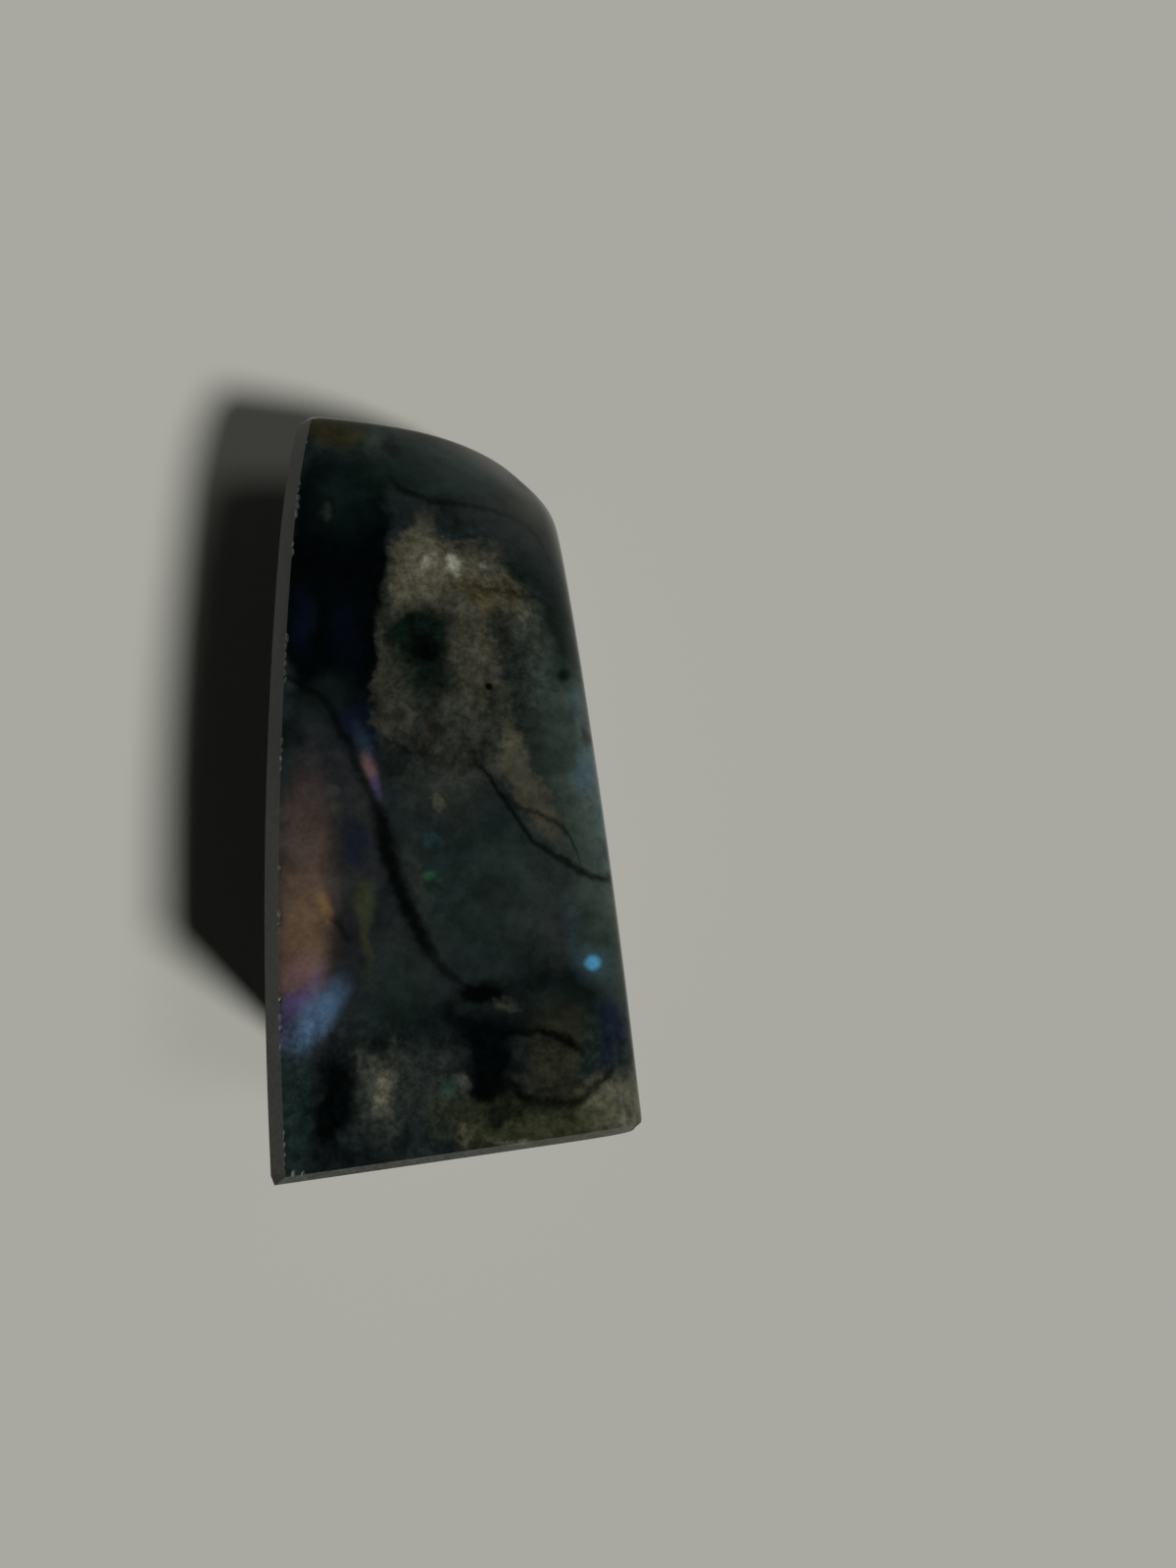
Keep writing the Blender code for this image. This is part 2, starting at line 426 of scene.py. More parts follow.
@dataclass(frozen=True)
class LabradoriteBody:
    """The stone's colours, with painted flashes, glints and sheen among them, the same inside and out, as one
    node group for all its finishes.

    Args:
        half_span: Half the length that a vein's line may cover, in millimetres.
        cloud_warp: How far a cloudy border wanders, in millimetres.
        cloud_scale: How many of its turns there are in a millimetre.
        grain_warp: How far a grainy one wanders more closely.
        grain_warp_scale: How many of its turns there are in a millimetre.
        ground_scale: How many clouds of the ground colour there are in a millimetre.
        mottle_scale: How many soft mottles there are in a millimetre.
        mottle_gain: How dark and how light the mottles make the stone.
        grain_scale: How many grains there are in a millimetre, in the window and at the base end.
        grain_gain: How much darker and lighter the grains are.
        window_middle: The middle of the grainy window, in millimetres.
        window_shares: One over half the window's size each way.
        base_start: How far along the block the base end's grain starts, and where it is full.
        vein_wander: How wide a vein's line wanders, in millimetres.
        vein_scale: How many of its turns there are in a millimetre.
        thickness_scale: How many times in a millimetre it swells.
        vein_fade: How far past its ends a vein fades out.
    """

    half_span: float = 40.0
    cloud_warp: float = 2.0
    cloud_scale: float = 0.22
    grain_warp: float = 0.9
    grain_warp_scale: float = 1.5
    ground_scale: float = 0.11
    mottle_scale: float = 0.55
    mottle_gain: tuple[float, float] = (0.7, 1.3)
    grain_scale: float = 1.3
    grain_gain: float = 0.38
    window_middle: Place = (0.0, 10.0, 28.0)
    window_shares: Place = (0.14, 0.085, 0.1)
    base_start: tuple[float, float] = (-17.0, -21.0)
    vein_wander: float = 1.2
    vein_scale: float = 0.9
    thickness_scale: float = 0.5
    vein_fade: float = 1.0

    def dark_zone(self) -> tuple[Patch, ...]:
        """Return the nearly black side of the face, with its blue and teal glints."""
        box = Outline.BOXY
        return (
            Patch(-9.6, 15.4, 3.9, 10.8, Tint.NIGHT, 1.0, 0.55, outline=box, deep=12),
            Patch(-7.9, 5.6, 2.4, 3.6, Tint.NIGHT, 0.9, 0.9, deep=8),
            Patch(-5.0, 26.2, 4.5, 2.6, Tint.DEEP, 0.5, 0.8, deep=8),
            Patch(-8.6, 11.0, 1.1, 3.2, Tint.NAVY, 0.22, 1.4, turn=6),
            Patch(-11.9, 12.0, 0.8, 2.6, Tint.NAVY, 0.38, 1.4),
            Patch(-9.4, 5.4, 1.8, 1.6, Tint.TEAL, 0.25, 1.4),
            Patch(-9.7, 21.6, 2.6, 2.4, Tint.TEAL, 0.25, 1.4),
            Patch(-10.3, 20.9, 0.5, 0.8, Tint.ASH, 0.3, 1.3),
            Patch(-8.6, 24.2, 3.4, 1.6, Tint.TEAL, 0.25, 1.2),
        )

    def tan_window(self) -> tuple[Patch, ...]:
        """Return the clear, grainy window that shines tan, with the dark blotch in it and painted glints of
        white light in it.
        """
        box = Outline.BOXY
        return (
            grainy(-0.3, 14.0, 5.2, 5.0, Tint.TAN, 0.55, 0.7, outline=box, deep=6),
            grainy(-2.7, 16.6, 2.6, 3.0, Tint.TAN, 0.9, 0.8, outline=box, deep=6),
            grainy(-3.2, 19.6, 0.9, 2.4, Tint.TAN, 0.85, 1.4, turn=-12, deep=6),
            grainy(1.3, 16.0, 3.4, 1.9, Tint.TAN, 0.65, 1.0, turn=-10, deep=6),
            grainy(4.4, 14.2, 1.7, 2.2, Tint.TAN, 0.45, 1.1, turn=-30, deep=6),
            grainy(-4.7, 6.4, 1.3, 4.4, Tint.TAN, 0.42, 1.0, outline=box, deep=6),
            grainy(0.9, 9.6, 2.3, 4.2, Tint.TAN, 0.42, 1.1, turn=6, deep=6),
            grainy(2.4, 8.7, 1.3, 2.0, Tint.TAN, 0.45, 1.3, deep=6),
            grainy(0.6, 3.6, 4.2, 4.6, Tint.TAN, 0.30, 1.2, deep=6),
            grainy(5.4, 11.4, 1.9, 3.2, Tint.ASH, 0.55, 1.2, turn=14, deep=6),
            grainy(3.6, 2.2, 1.2, 2.0, Tint.ASH, 0.55, 1.3, turn=20, deep=6),
            grainy(3.9, 4.9, 0.8, 3.6, Tint.TAN, 0.25, 1.2, turn=10, deep=6),
            grainy(4.9, 0.6, 1.2, 3.2, Tint.TAN, 0.80, 1.2, turn=24, deep=6),
            grainy(6.6, -2.7, 1.2, 2.1, Tint.TAN, 0.80, 1.2, turn=35, deep=6),
            grainy(8.4, -4.6, 0.8, 1.3, Tint.TAN, 0.40, 1.2, turn=35, deep=6),
            # Cream spots: pale stone with painted glints of white light in them
            grainy(-2.9, 16.4, 1.7, 2.4, Tint.CREAM, 0.35, 1.4, turn=-12),
            grainy(-3.5, 18.6, 1.0, 1.6, Tint.CREAM, 0.35, 1.4, turn=-12),
            grainy(0.0, 16.4, 1.9, 1.0, Tint.CREAM, 0.35, 1.4, turn=-10),
            grainy(1.6, 14.4, 0.8, 2.2, Tint.GOLD, 0.75, 1.3, turn=38),
            grainy(4.0, 14.9, 2.2, 0.8, Tint.GOLD, 0.60, 1.3, turn=-24),
            grainy(5.6, 12.7, 0.7, 0.6, Tint.CREAM, 0.45, 1.3),
            # Painted glints: white dots of light reflected inside the window
            Patch(-2.3, 16.9, 0.45, 0.45, Tint.PAINTED_GLINT, 0.8, 1.3),
            Patch(0.1, 16.8, 0.7, 0.55, Tint.PAINTED_GLINT, 1.0, 1.2, turn=-30),
            Patch(2.3, 17.1, 0.4, 0.35, Tint.PAINTED_GLINT, 0.5, 1.3),
            grainy(3.6, 11.2, 0.8, 2.4, Tint.DEEP, 0.70, 1.3, turn=20),
            grainy(5.8, 17.0, 2.2, 1.5, Tint.BOTTLE, 0.80, 1.2, turn=-35),
            Patch(-2.3, 8.0, 2.0, 2.6, Tint.BOTTLE, 0.80, 1.3),
            Patch(-2.65, 11.1, 2.5, 2.6, Tint.BOTTLE, 0.98, 0.75),
            Patch(-2.4, 9.9, 0.95, 0.95, Tint.VEIN, 0.9, 1.1),
            grainy(-1.6, 3.4, 0.8, 2.8, Tint.DEEP, 0.5, 1.4),
            grainy(2.9, 5.0, 0.7, 2.6, Tint.DEEP, 0.5, 1.3, turn=10),
            grainy(1.6, 1.4, 1.6, 1.6, Tint.DEEP, 0.35, 1.4),
            grainy(-4.2, 1.4, 1.3, 1.8, Tint.DEEP, 0.65, 1.3),
            Patch(-2.4, 3.0, 0.35, 1.3, Tint.RUST, 0.35, 1.4),
            Patch(2.5, 7.0, 0.5, 0.5, Tint.VEIN, 0.95, 0.8),
        )

    def painted_shoulder_sheen(self) -> tuple[Patch, ...]:
        """Return the pale blue-green strip along the rounded right shoulder, a painted sheen of light, with
        its blue spots, which are painted flashes.
        """
        return (
            Patch(6.4, 6.0, 1.5, 8.5, Tint.DEEP, 0.65, 1.2, turn=12, deep=8),
            # Painted sheen of light along the right shoulder
            Patch(8.8, 3.4, 2.2, 10.0, Tint.STRIP, 0.75, 1.2, turn=12, deep=8),
            Patch(11.3, -2.6, 2.4, 9.5, Tint.STRIP, 0.90, 1.2, turn=8, deep=8),
            Patch(11.5, -1.6, 1.3, 7.2, Tint.MIST, 0.80, 1.4, turn=9, deep=8),
            Patch(12.2, -13.3, 1.7, 6.0, Tint.STRIP, 0.45, 1.2, turn=7, deep=8),
            Patch(8.0, 12.8, 1.0, 4.6, Tint.BOTTLE, 0.80, 1.2, turn=6, deep=8),
            # Painted flashes: the blue spots and the cyan spot on the shoulder
            Patch(10.1, 5.6, 0.6, 1.9, Tint.BLUE_FLASH, 0.22, 1.3, turn=5),
            Patch(10.5, 0.4, 0.8, 1.7, Tint.BLUE_FLASH, 0.55, 1.3, turn=5),
            Patch(11.5, -3.5, 0.7, 1.6, Tint.BLUE_FLASH, 0.5, 1.3, turn=5),
            Patch(12.1, -6.3, 0.7, 1.1, Tint.NAVY, 0.6, 1.3),
            Patch(9.8, -11.6, 0.7, 2.2, Tint.BLUE_FLASH, 0.22, 1.3, turn=5),
            clean(8.7, 7.9, 0.5, 0.6, Tint.BOTTLE, 0.95, 1.2),
            Patch(10.4, 3.2, 0.4, 0.8, Tint.DEEP, 0.65, 1.2),
            clean(11.0, -14.8, 1.2, 1.2, Tint.BLUE_FLASH, 0.45, 1.5),
            clean(11.0, -14.8, 0.55, 0.5, Tint.CYAN_FLASH, 1.0, 1.1),
            Patch(12.5, -19.2, 1.2, 2.2, Tint.NAVY, 0.75, 1.2),
            Patch(12.4, -22.1, 0.6, 0.8, Tint.NAVY, 0.6, 1.2),
        )

    def painted_flashes(self) -> tuple[Patch, ...]:
        """Return the long flash on the left, from grey through orange and rose to blue, and a small one; both
        are painted flashes, light that the stone's layers reflect at some angles.
        """
        return (
            Patch(-9.4, -9.0, 4.6, 12.0, Tint.DUSK, 0.60, 0.9, deep=7),
            Patch(-11.2, -2.4, 1.4, 3.6, Tint.ROSE_FLASH, 0.07, 1.4, deep=5),
            # Painted flashes, from orange through rose to blue
            clean(-10.8, -9.8, 2.0, 7.4, Tint.EMBER_FLASH, 0.50, 1.3, turn=2, deep=5),
            clean(-10.9, -13.2, 1.5, 4.0, Tint.BLAZE_FLASH, 0.70, 1.5, turn=2, deep=5),
            clean(-10.9, -16.2, 1.4, 2.0, Tint.ROSE_FLASH, 0.70, 1.3, turn=2, deep=5),
            Patch(-11.4, -18.6, 0.85, 3.0, Tint.VIOLET_FLASH, 0.85, 1.3, turn=-34, deep=5),
            clean(-9.9, -19.0, 1.15, 3.0, Tint.AZURE_FLASH, 0.95, 1.3, turn=-38, deep=5),
            Patch(-12.0, -20.6, 1.1, 1.6, Tint.DUSK, 0.5, 1.1, deep=5),
            clean(-9.4, -10.6, 0.45, 1.3, Tint.AMBER_FLASH, 0.8, 1.3, turn=20, deep=3),
            Patch(-8.4, -12.6, 0.35, 1.1, Tint.DEEP, 0.7, 1.3, turn=34, deep=3),
            Patch(-7.2, -6.1, 0.9, 1.4, Tint.NAVY, 0.6, 1.3, deep=4),
            Patch(-7.9, -8.8, 1.0, 1.8, Tint.ASH, 0.35, 1.4, deep=4),
            Patch(-6.4, -10.5, 0.7, 1.5, Tint.OLIVE, 0.9, 1.3, deep=4),
            Patch(-6.1, -13.5, 0.5, 1.9, Tint.OLIVE, 0.75, 1.3, turn=14, deep=4),
            Patch(-6.1, -10.6, 0.5, 1.2, Tint.LEAF, 0.15, 1.4, deep=4),
            Patch(-7.1, 3.0, 1.4, 2.0, Tint.NAVY, 0.6, 1.4, turn=30, deep=4),
            clean(-6.9, 2.2, 0.5, 1.3, Tint.AZURE_FLASH, 0.16, 1.5, turn=26, deep=4),
            clean(-6.3, 0.0, 0.5, 1.2, Tint.ROSE_FLASH, 0.85, 1.4, turn=20, deep=4),
            clean(-5.8, -1.4, 0.38, 0.9, Tint.VIOLET_FLASH, 0.55, 1.4, turn=16, deep=4),
            Patch(-9.0, -1.6, 0.6, 0.6, Tint.ASH, 0.45, 1.2, deep=3),
            Patch(-8.9, -3.0, 0.6, 0.6, Tint.ASH, 0.5, 1.2, deep=3),
        )

    def middle(self) -> tuple[Patch, ...]:
        """Return the grey-green middle of the face, with pale flecks in it."""
        return (
            Patch(3.3, -9.3, 5.4, 4.6, Tint.TEAL, 0.45, 1.0),
            Patch(8.2, -10.6, 3.0, 3.6, Tint.PALE, 0.35, 1.4),
            Patch(3.3, -9.3, 1.7, 1.3, Tint.DEEP, 0.5, 1.4),
            grainy(-0.6, -1.6, 2.6, 1.4, Tint.PALE, 0.6, 1.2, turn=10),
            grainy(-0.6, -2.7, 0.7, 0.6, Tint.CREAM, 0.3, 1.2, turn=30),
            grainy(0.7, 0.5, 1.2, 0.6, Tint.ASH, 0.5, 1.2, turn=20),
            grainy(-3.9, -0.5, 0.6, 0.5, Tint.ASH, 0.6, 1.2),
            Patch(-1.2, -5.6, 0.4, 0.4, Tint.BLUE_FLASH, 0.35, 1.3),
            grainy(-2.5, -8.6, 0.6, 2.4, Tint.ASH, 0.4, 1.3, turn=14),
            clean(-1.4, -8.2, 0.45, 0.35, Tint.LEAF, 0.8, 1.3),
            Patch(-0.5, -8.4, 0.4, 0.35, Tint.LEAF, 0.4, 1.3),
            Patch(-3.4, -14.8, 2.8, 3.0, Tint.PALE, 0.35, 1.2),
            Patch(-4.4, -17.4, 3.4, 3.4, Tint.TEAL, 0.4, 1.2),
        )

    def base_end(self) -> tuple[Patch, ...]:
        """Return the broken light and dark patches at the base end."""
        return (
            grainy(-1.6, -19.0, 3.2, 2.1, Tint.NIGHT, 0.50, 1.2),
            Patch(-11.4, -25.9, 1.7, 4.4, Tint.TEAL, 0.75, 1.0),
            grainy(-5.0, -23.6, 2.6, 3.0, Tint.ASH, 0.55, 1.1),
            grainy(-4.6, -27.4, 3.2, 1.8, Tint.DEEP, 0.30, 1.2),
            Patch(-8.5, -24.9, 1.5, 3.6, Tint.NIGHT, 0.95, 1.0, turn=-4),
            grainy(-6.5, -21.5, 0.5, 1.0, Tint.ASH, 0.9, 1.3),
            grainy(-4.7, -23.6, 0.9, 1.6, Tint.CREAM, 0.80, 1.4),
            grainy(-5.5, -23.2, 0.5, 1.8, Tint.ASH, 0.7, 1.3, turn=-18),
            grainy(-3.8, -23.4, 0.35, 3.2, Tint.ASH, 0.6, 1.3, turn=-4),
            grainy(-4.0, -27.0, 0.8, 1.4, Tint.ASH, 0.45, 1.4),
            Patch(-4.9, -20.4, 0.9, 1.0, Tint.NIGHT, 0.75, 1.2),
            grainy(-0.8, -23.2, 2.2, 2.6, Tint.PALE, 0.35, 1.2),
            grainy(8.4, -22.0, 2.6, 3.4, Tint.UMBER, 0.75, 1.2),
            grainy(4.2, -26.4, 4.4, 1.9, Tint.OLIVE, 0.75, 1.0, turn=-8),
            grainy(4.6, -25.8, 1.7, 0.8, Tint.NIGHT, 0.75, 1.2, turn=-8),
            grainy(9.6, -26.4, 4.2, 1.7, Tint.OLIVE, 0.95, 1.0, turn=18),
            # Paler stone at the lower right corner, with a painted highlight on the corner
            Patch(13.0, -25.3, 2.6, 2.1, Tint.CREAM, 0.50, 1.1, turn=30),
            grainy(1.3, -26.6, 0.4, 1.4, Tint.CREAM, 0.35, 1.2, turn=24),
            grainy(4.8, -27.7, 1.5, 0.35, Tint.CREAM, 0.5, 1.2, turn=-6),
            Patch(10.9, -20.8, 0.8, 3.0, Tint.TEAL, 0.55, 1.2),
            Patch(3.0, -17.1, 2.0, 0.95, Tint.VEIN, 0.97, 0.9, turn=-16, deep=4),
            Patch(2.9, -21.6, 2.1, 3.0, Tint.NIGHT, 0.97, 0.9, turn=10, deep=5),
            Patch(4.4, -24.2, 2.2, 0.7, Tint.VEIN, 0.85, 1.2, turn=-16, deep=5),
            Patch(1.0, -18.9, 0.9, 1.6, Tint.NIGHT, 0.85, 1.2, turn=30, deep=5),
            grainy(4.7, -18.3, 0.7, 0.6, Tint.ASH, 0.65, 1.3),
            Patch(1.4, -23.7, 0.8, 0.3, Tint.ASH, 0.9, 1.3, turn=-30),
            Patch(0.6, -24.1, 0.4, 0.4, Tint.LEAF, 0.2, 1.3),
            Patch(-7.0, -29.3, 3.4, 1.1, Tint.NIGHT, 0.6, 1.2),
        )

    def top_end(self) -> tuple[Patch, ...]:
        """Return the teal band across the top end, with its brown corner."""
        return (
            Patch(-1.0, 26.8, 9.0, 2.8, Tint.TEAL, 0.80, 1.0, deep=9, drop=3),
            Patch(9.0, 25.4, 8.5, 4.4, Tint.BOTTLE, 0.97, 0.7, turn=-44, deep=12, drop=8),
            Patch(5.4, 23.6, 1.6, 1.2, Tint.OLIVE, 0.30, 1.3, deep=9, drop=4),
            Patch(-10.8, 28.9, 2.4, 1.6, Tint.BROWN, 0.95, 1.0, deep=7, drop=2),
            Patch(-9.4, 29.4, 1.3, 1.0, Tint.OLIVE, 0.5, 1.3, deep=5, drop=1),
            Patch(-7.6, 28.6, 0.6, 2.2, Tint.STRIP, 0.5, 1.3, deep=8, drop=2),
            Patch(-6.9, 26.0, 0.7, 1.6, Tint.STRIP, 0.25, 1.3, deep=8, drop=2),
            Patch(-6.3, 28.4, 0.5, 1.4, Tint.NIGHT, 0.6, 1.2, deep=8, drop=2),
            Patch(-2.1, 27.4, 2.4, 0.9, Tint.BLUE_FLASH, 0.06, 1.3, deep=8, drop=3),
            Patch(2.0, 26.6, 1.8, 0.9, Tint.BLUE_FLASH, 0.05, 1.3, deep=8, drop=4),
        )

    def veins(self) -> tuple[Vein, ...]:
        """Return the dark veins that cross the face."""
        main = ((-13.6, 7.6), (-12.4, 7.0), (-10.1, 5.6), (-8.5, 2.9), (-7.0, -0.3), (-5.5, -3.4),
                (-4.4, -7.5), (-3.1, -10.6), (-1.5, -13.8), (0.4, -15.8), (2.4, -16.9))
        lower = ((5.4, -24.4), (7.7, -25.1), (10.0, -24.8), (11.3, -23.8), (12.6, -22.6))
        upper = ((-5.6, 24.8), (-3.4, 23.7), (-0.5, 23.6), (1.9, 23.7), (4.2, 23.5), (5.9, 22.5),
                 (6.8, 21.0))
        second = ((2.0, 0.6), (3.2, -1.0), (5.2, -3.8), (6.2, -5.3), (8.2, -6.8), (10.0, -7.9),
                  (13.0, -9.1))
        branch = ((4.4, -2.2), (5.2, -2.8), (8.2, -4.3), (9.2, -5.3), (9.8, -6.6))
        return (
            Vein(main, along_y=True, width=0.05, soft=0.75, share=0.62),
            Vein(main[5:9], along_y=True, width=0.26, soft=0.9, share=0.72),
            Vein(lower, along_y=False, width=0.05, soft=0.7, share=0.75),
            Vein(upper, along_y=False, width=0.03, soft=0.6, share=0.6, lean=-0.2),
            Vein(second, along_y=False, width=0.04, soft=0.55, share=0.75),
            Vein(branch, along_y=False, width=0.02, soft=0.5, share=0.6),
            Vein(((4.6, -20.0), (7.6, -19.9), (9.9, -21.1)), False, width=0.05, soft=0.7, share=0.85),
            Vein(((-8.0, -28.4), (-8.6, -25.0), (-7.0, -22.0)), True, width=0.04, soft=0.5, share=0.5),
            Vein(((1.2, 14.8), (3.4, 14.3), (6.6, 13.6)), False, width=0.02, soft=0.5, share=0.5),
            Vein(((-5.4, 2.6), (-3.0, 1.4), (-0.6, 1.0)), False, width=0.02, soft=0.4, share=0.4),
        )

    def build(self) -> bpy.types.NodeTree:
        """Return the node group, with one Color output."""
        tree = bpy.data.node_groups.new("Labradorite body", "ShaderNodeTree")
        tree.interface.new_socket("Color", in_out="OUTPUT", socket_type="NodeSocketColor")
        wires = Wiring(tree)
        place = wires.scaled(wires.add("ShaderNodeTexCoord").outputs["Object"], 1 / MM)
        clouded = self.warped(wires, place, place, self.cloud_scale, self.cloud_warp)
        grained = self.warped(wires, clouded, place, self.grain_warp_scale, self.grain_warp)
        places = {Border.CLEAN: place, Border.CLOUDY: clouded, Border.GRAINY: grained}
        colour = self.ground(wires, clouded)
        groups = (self.middle, self.top_end, self.painted_shoulder_sheen, self.dark_zone, self.painted_flashes, self.base_end,
                  self.tan_window)
        for group in groups:
            for patch in group():
                colour = self.lay_patch(wires, colour, patch, places[patch.border])
        for vein in self.veins():
            colour = self.lay_vein(wires, colour, vein, place)
        wires.add("NodeGroupOutput", {"Color": self.mottled(wires, colour, wires.after(place, colour))})
        return tree

    def mottled(self, wires: Wiring, colour: object, place: object) -> object:
        """Return the colour with soft mottles, and with grain in the window and at the base end."""
        low, high = self.mottle_gain
        mottles = wires.clouds(place, self.mottle_scale, 5, 0.72).outputs["Fac"]
        gain = wires.math("MULTIPLY_ADD", wires.ease(mottles, 0.30, 0.70), high - low, low)
        colour = wires.scaled(colour, gain)
        from_window = wires.vector("SUBTRACT", place, self.window_middle)
        reach = wires.length(wires.vector("MULTIPLY", from_window, self.window_shares))
        at_base = wires.ease(wires.split(place)[1], *self.base_start)
        grainy_here = wires.math("MAXIMUM", wires.ease(reach, 1.3, 0.8), at_base)
        flecks = wires.clouds(place, self.grain_scale, 5, 0.7).outputs["Fac"]
        fleck = wires.ease(flecks, 0.34, 0.66)
        spread = wires.math("MULTIPLY_ADD", fleck, 2 * self.grain_gain, -self.grain_gain)
        return wires.scaled(colour, wires.math("MULTIPLY_ADD", spread, grainy_here, 1.0))

    def warped(self, wires: Wiring, base: object, place: object, scale: float, most: float) -> object:
        """Return places that a noise has moved.

        Args:
            wires: The tree's wiring.
            base: The places to move.
            place: The places that the noise reads.
            scale: How many times the noise repeats in a millimetre.
            most: How wide the moves range, in millimetres.

        Returns:
            The moved places.
        """
        stir = wires.clouds(place, scale, 3, 0.6).outputs["Color"]
        centred = wires.vector("SUBTRACT", stir, (0.5, 0.5, 0.5))
        return wires.vector("ADD", base, wires.scaled(centred, 2 * most))

    def ground(self, wires: Wiring, place: object) -> object:
        """Return the stone's grey-green, clouded lighter and darker."""
        large = wires.clouds(place, self.ground_scale, 5, 0.6).outputs["Fac"]
        dark = wires.mix(wires.ease(large, 0.50, 0.34), Tint.BODY.value, Tint.DEEP.value)
        return wires.mix(wires.ease(large, 0.52, 0.70), dark, Tint.PALE.value)

    def lay_patch(self, wires: Wiring, colour: object, patch: Patch, place: object) -> object:
        """Return the colour with a patch laid over it.

        Args:
            wires: The tree's wiring.
            colour: The colour so far.
            patch: The patch.
            place: The places that it reads, in millimetres.

        Returns:
            The new colour.
        """
        given = {
            "Vector": wires.after(place, colour),
            "Location": (patch.x, patch.y, face_height(patch.y) - patch.drop),
            "Rotation": (0.0, 0.0, math.radians(patch.turn)),
            "Scale": (patch.wide, patch.long, patch.deep),
        }
        mapping = wires.add("ShaderNodeMapping", given, vector_type="TEXTURE")
        inside = mapping.outputs["Vector"]
        if patch.outline is Outline.BOXY:
            inside = wires.vector("MULTIPLY", inside, inside)
        reach = wires.length(inside)
        share = wires.ease(reach, 1.0 + patch.soft / 2, 1.0 - patch.soft / 2)
        return wires.mix(wires.math("MULTIPLY", share, patch.share), colour, patch.tint.value)

    def lay_vein(self, wires: Wiring, colour: object, vein: Vein, place: object) -> object:
        """Return the colour with a vein laid over it.

        Args:
            wires: The tree's wiring.
            colour: The colour so far.
            vein: The vein.
            place: The places that it reads, in millimetres.

        Returns:
            The new colour.
        """
        place = wires.after(place, colour)
        x, y, z = wires.split(place)
        along, across = (y, x) if vein.along_y else (x, y)
        line = sorted((y, x) if vein.along_y else (x, y) for x, y in vein.points)
        slope = face_height(0) - face_height(1)
        depth = wires.math("SUBTRACT", wires.math("MULTIPLY_ADD", y, -slope, face_height(0)), z)
        wander = wires.clouds(place, self.vein_scale, 3, 0.6).outputs["Fac"]
        moved = wires.math("MULTIPLY_ADD", depth, -vein.lean, across)
        wandering = wires.math("MULTIPLY_ADD", wander, self.vein_wander, -self.vein_wander / 2)
        moved = wires.math("ADD", moved, wandering)
        position = wires.math("MULTIPLY_ADD", along, 0.5 / self.half_span, 0.5)
        curve = wires.add("ShaderNodeFloatCurve", {"Value": position})
        points = curve.mapping.curves[0].points
        spots = [tuple(part / self.half_span / 2 + 0.5 for part in spot) for spot in line]
        points[0].location = spots[0]
        points[1].location = spots[-1]
        for spot in spots[1:-1]:
            points.new(*spot)
        curve.mapping.update()
        target = wires.math("MULTIPLY_ADD", curve.outputs["Value"], 2 * self.half_span, -self.half_span)
        off = wires.math("ABSOLUTE", wires.math("SUBTRACT", moved, target))
        swelling = wires.clouds(place, self.thickness_scale, 2).outputs["Fac"]
        thickness = wires.math("MULTIPLY", swelling, 2 * vein.width)
        near = wires.ease(off, wires.math("ADD", thickness, vein.soft), thickness)
        first, last = line[0][0], line[-1][0]
        started = wires.ease(along, first - self.vein_fade, first + self.vein_fade / 2)
        ended = wires.ease(along, last + self.vein_fade, last - self.vein_fade / 2)
        share = wires.math("MULTIPLY", wires.math("MULTIPLY", started, ended), near)
        return wires.mix(wires.math("MULTIPLY", share, vein.share), colour, Tint.VEIN.value)


@dataclass(frozen=True)
class Finish:
    """How one part of the stone's skin is worked.

    Args:
        name: The material's name.
        roughness: How dull the surface is.
        shine: How strong its reflections are, 0.5 being a clean polish.
        relief: The height of the skin's finest marks.
        relief_scale: How many of those marks there are in a millimetre.
        veil: The grey of the light that a broken skin scatters.
        veil_share: How much of the stone's colour that veil hides.
        base_gain: How much stronger the veil is at the base end, and weaker at the top end.
    """

    name: str
    roughness: float
    shine: float
    relief: float
    relief_scale: float
    veil: Colour = (0.0, 0.0, 0.0)
    veil_share: float = 0.0
    base_gain: float = 0.0

    def material(self, body: bpy.types.NodeTree) -> bpy.types.Material:
        """Return the finish's material.

        Args:
            body: The node group of the stone's colours.

        Returns:
            The material.
        """
        material = bpy.data.materials.new(self.name)
        material.use_nodes = True
        wires = Wiring(material.node_tree)
        shader = material.node_tree.nodes["Principled BSDF"]
        stone = wires.add("ShaderNodeGroup", node_tree=body)
        place = wires.scaled(wires.add("ShaderNodeTexCoord").outputs["Object"], 1 / MM)
        marks = wires.clouds(place, self.relief_scale, 3, 0.6).outputs["Fac"]
        patchy = wires.math("MULTIPLY", wires.ease(marks, 0.1, 0.75), self.veil_share)
        if self.base_gain:
            towards_base = wires.ease(wires.split(place)[1], GAIN_FROM, GAIN_TO)
            gain = wires.math("MULTIPLY_ADD", towards_base, 2 * self.base_gain, 1 - self.base_gain)
            patchy = wires.math("MULTIPLY", patchy, gain)
        bump = wires.add("ShaderNodeBump", {"Distance": self.relief, "Height": marks})
        wires.fill(shader, {
            "Base Color": wires.mix(patchy, stone.outputs["Color"], self.veil),
            "Roughness": self.roughness,
            "IOR": STONE_IOR,
            "Specular IOR Level": self.shine,
            "Normal": bump.outputs["Normal"],
        })
        return material


# How strongly the stone bends light
STONE_IOR = 1.56
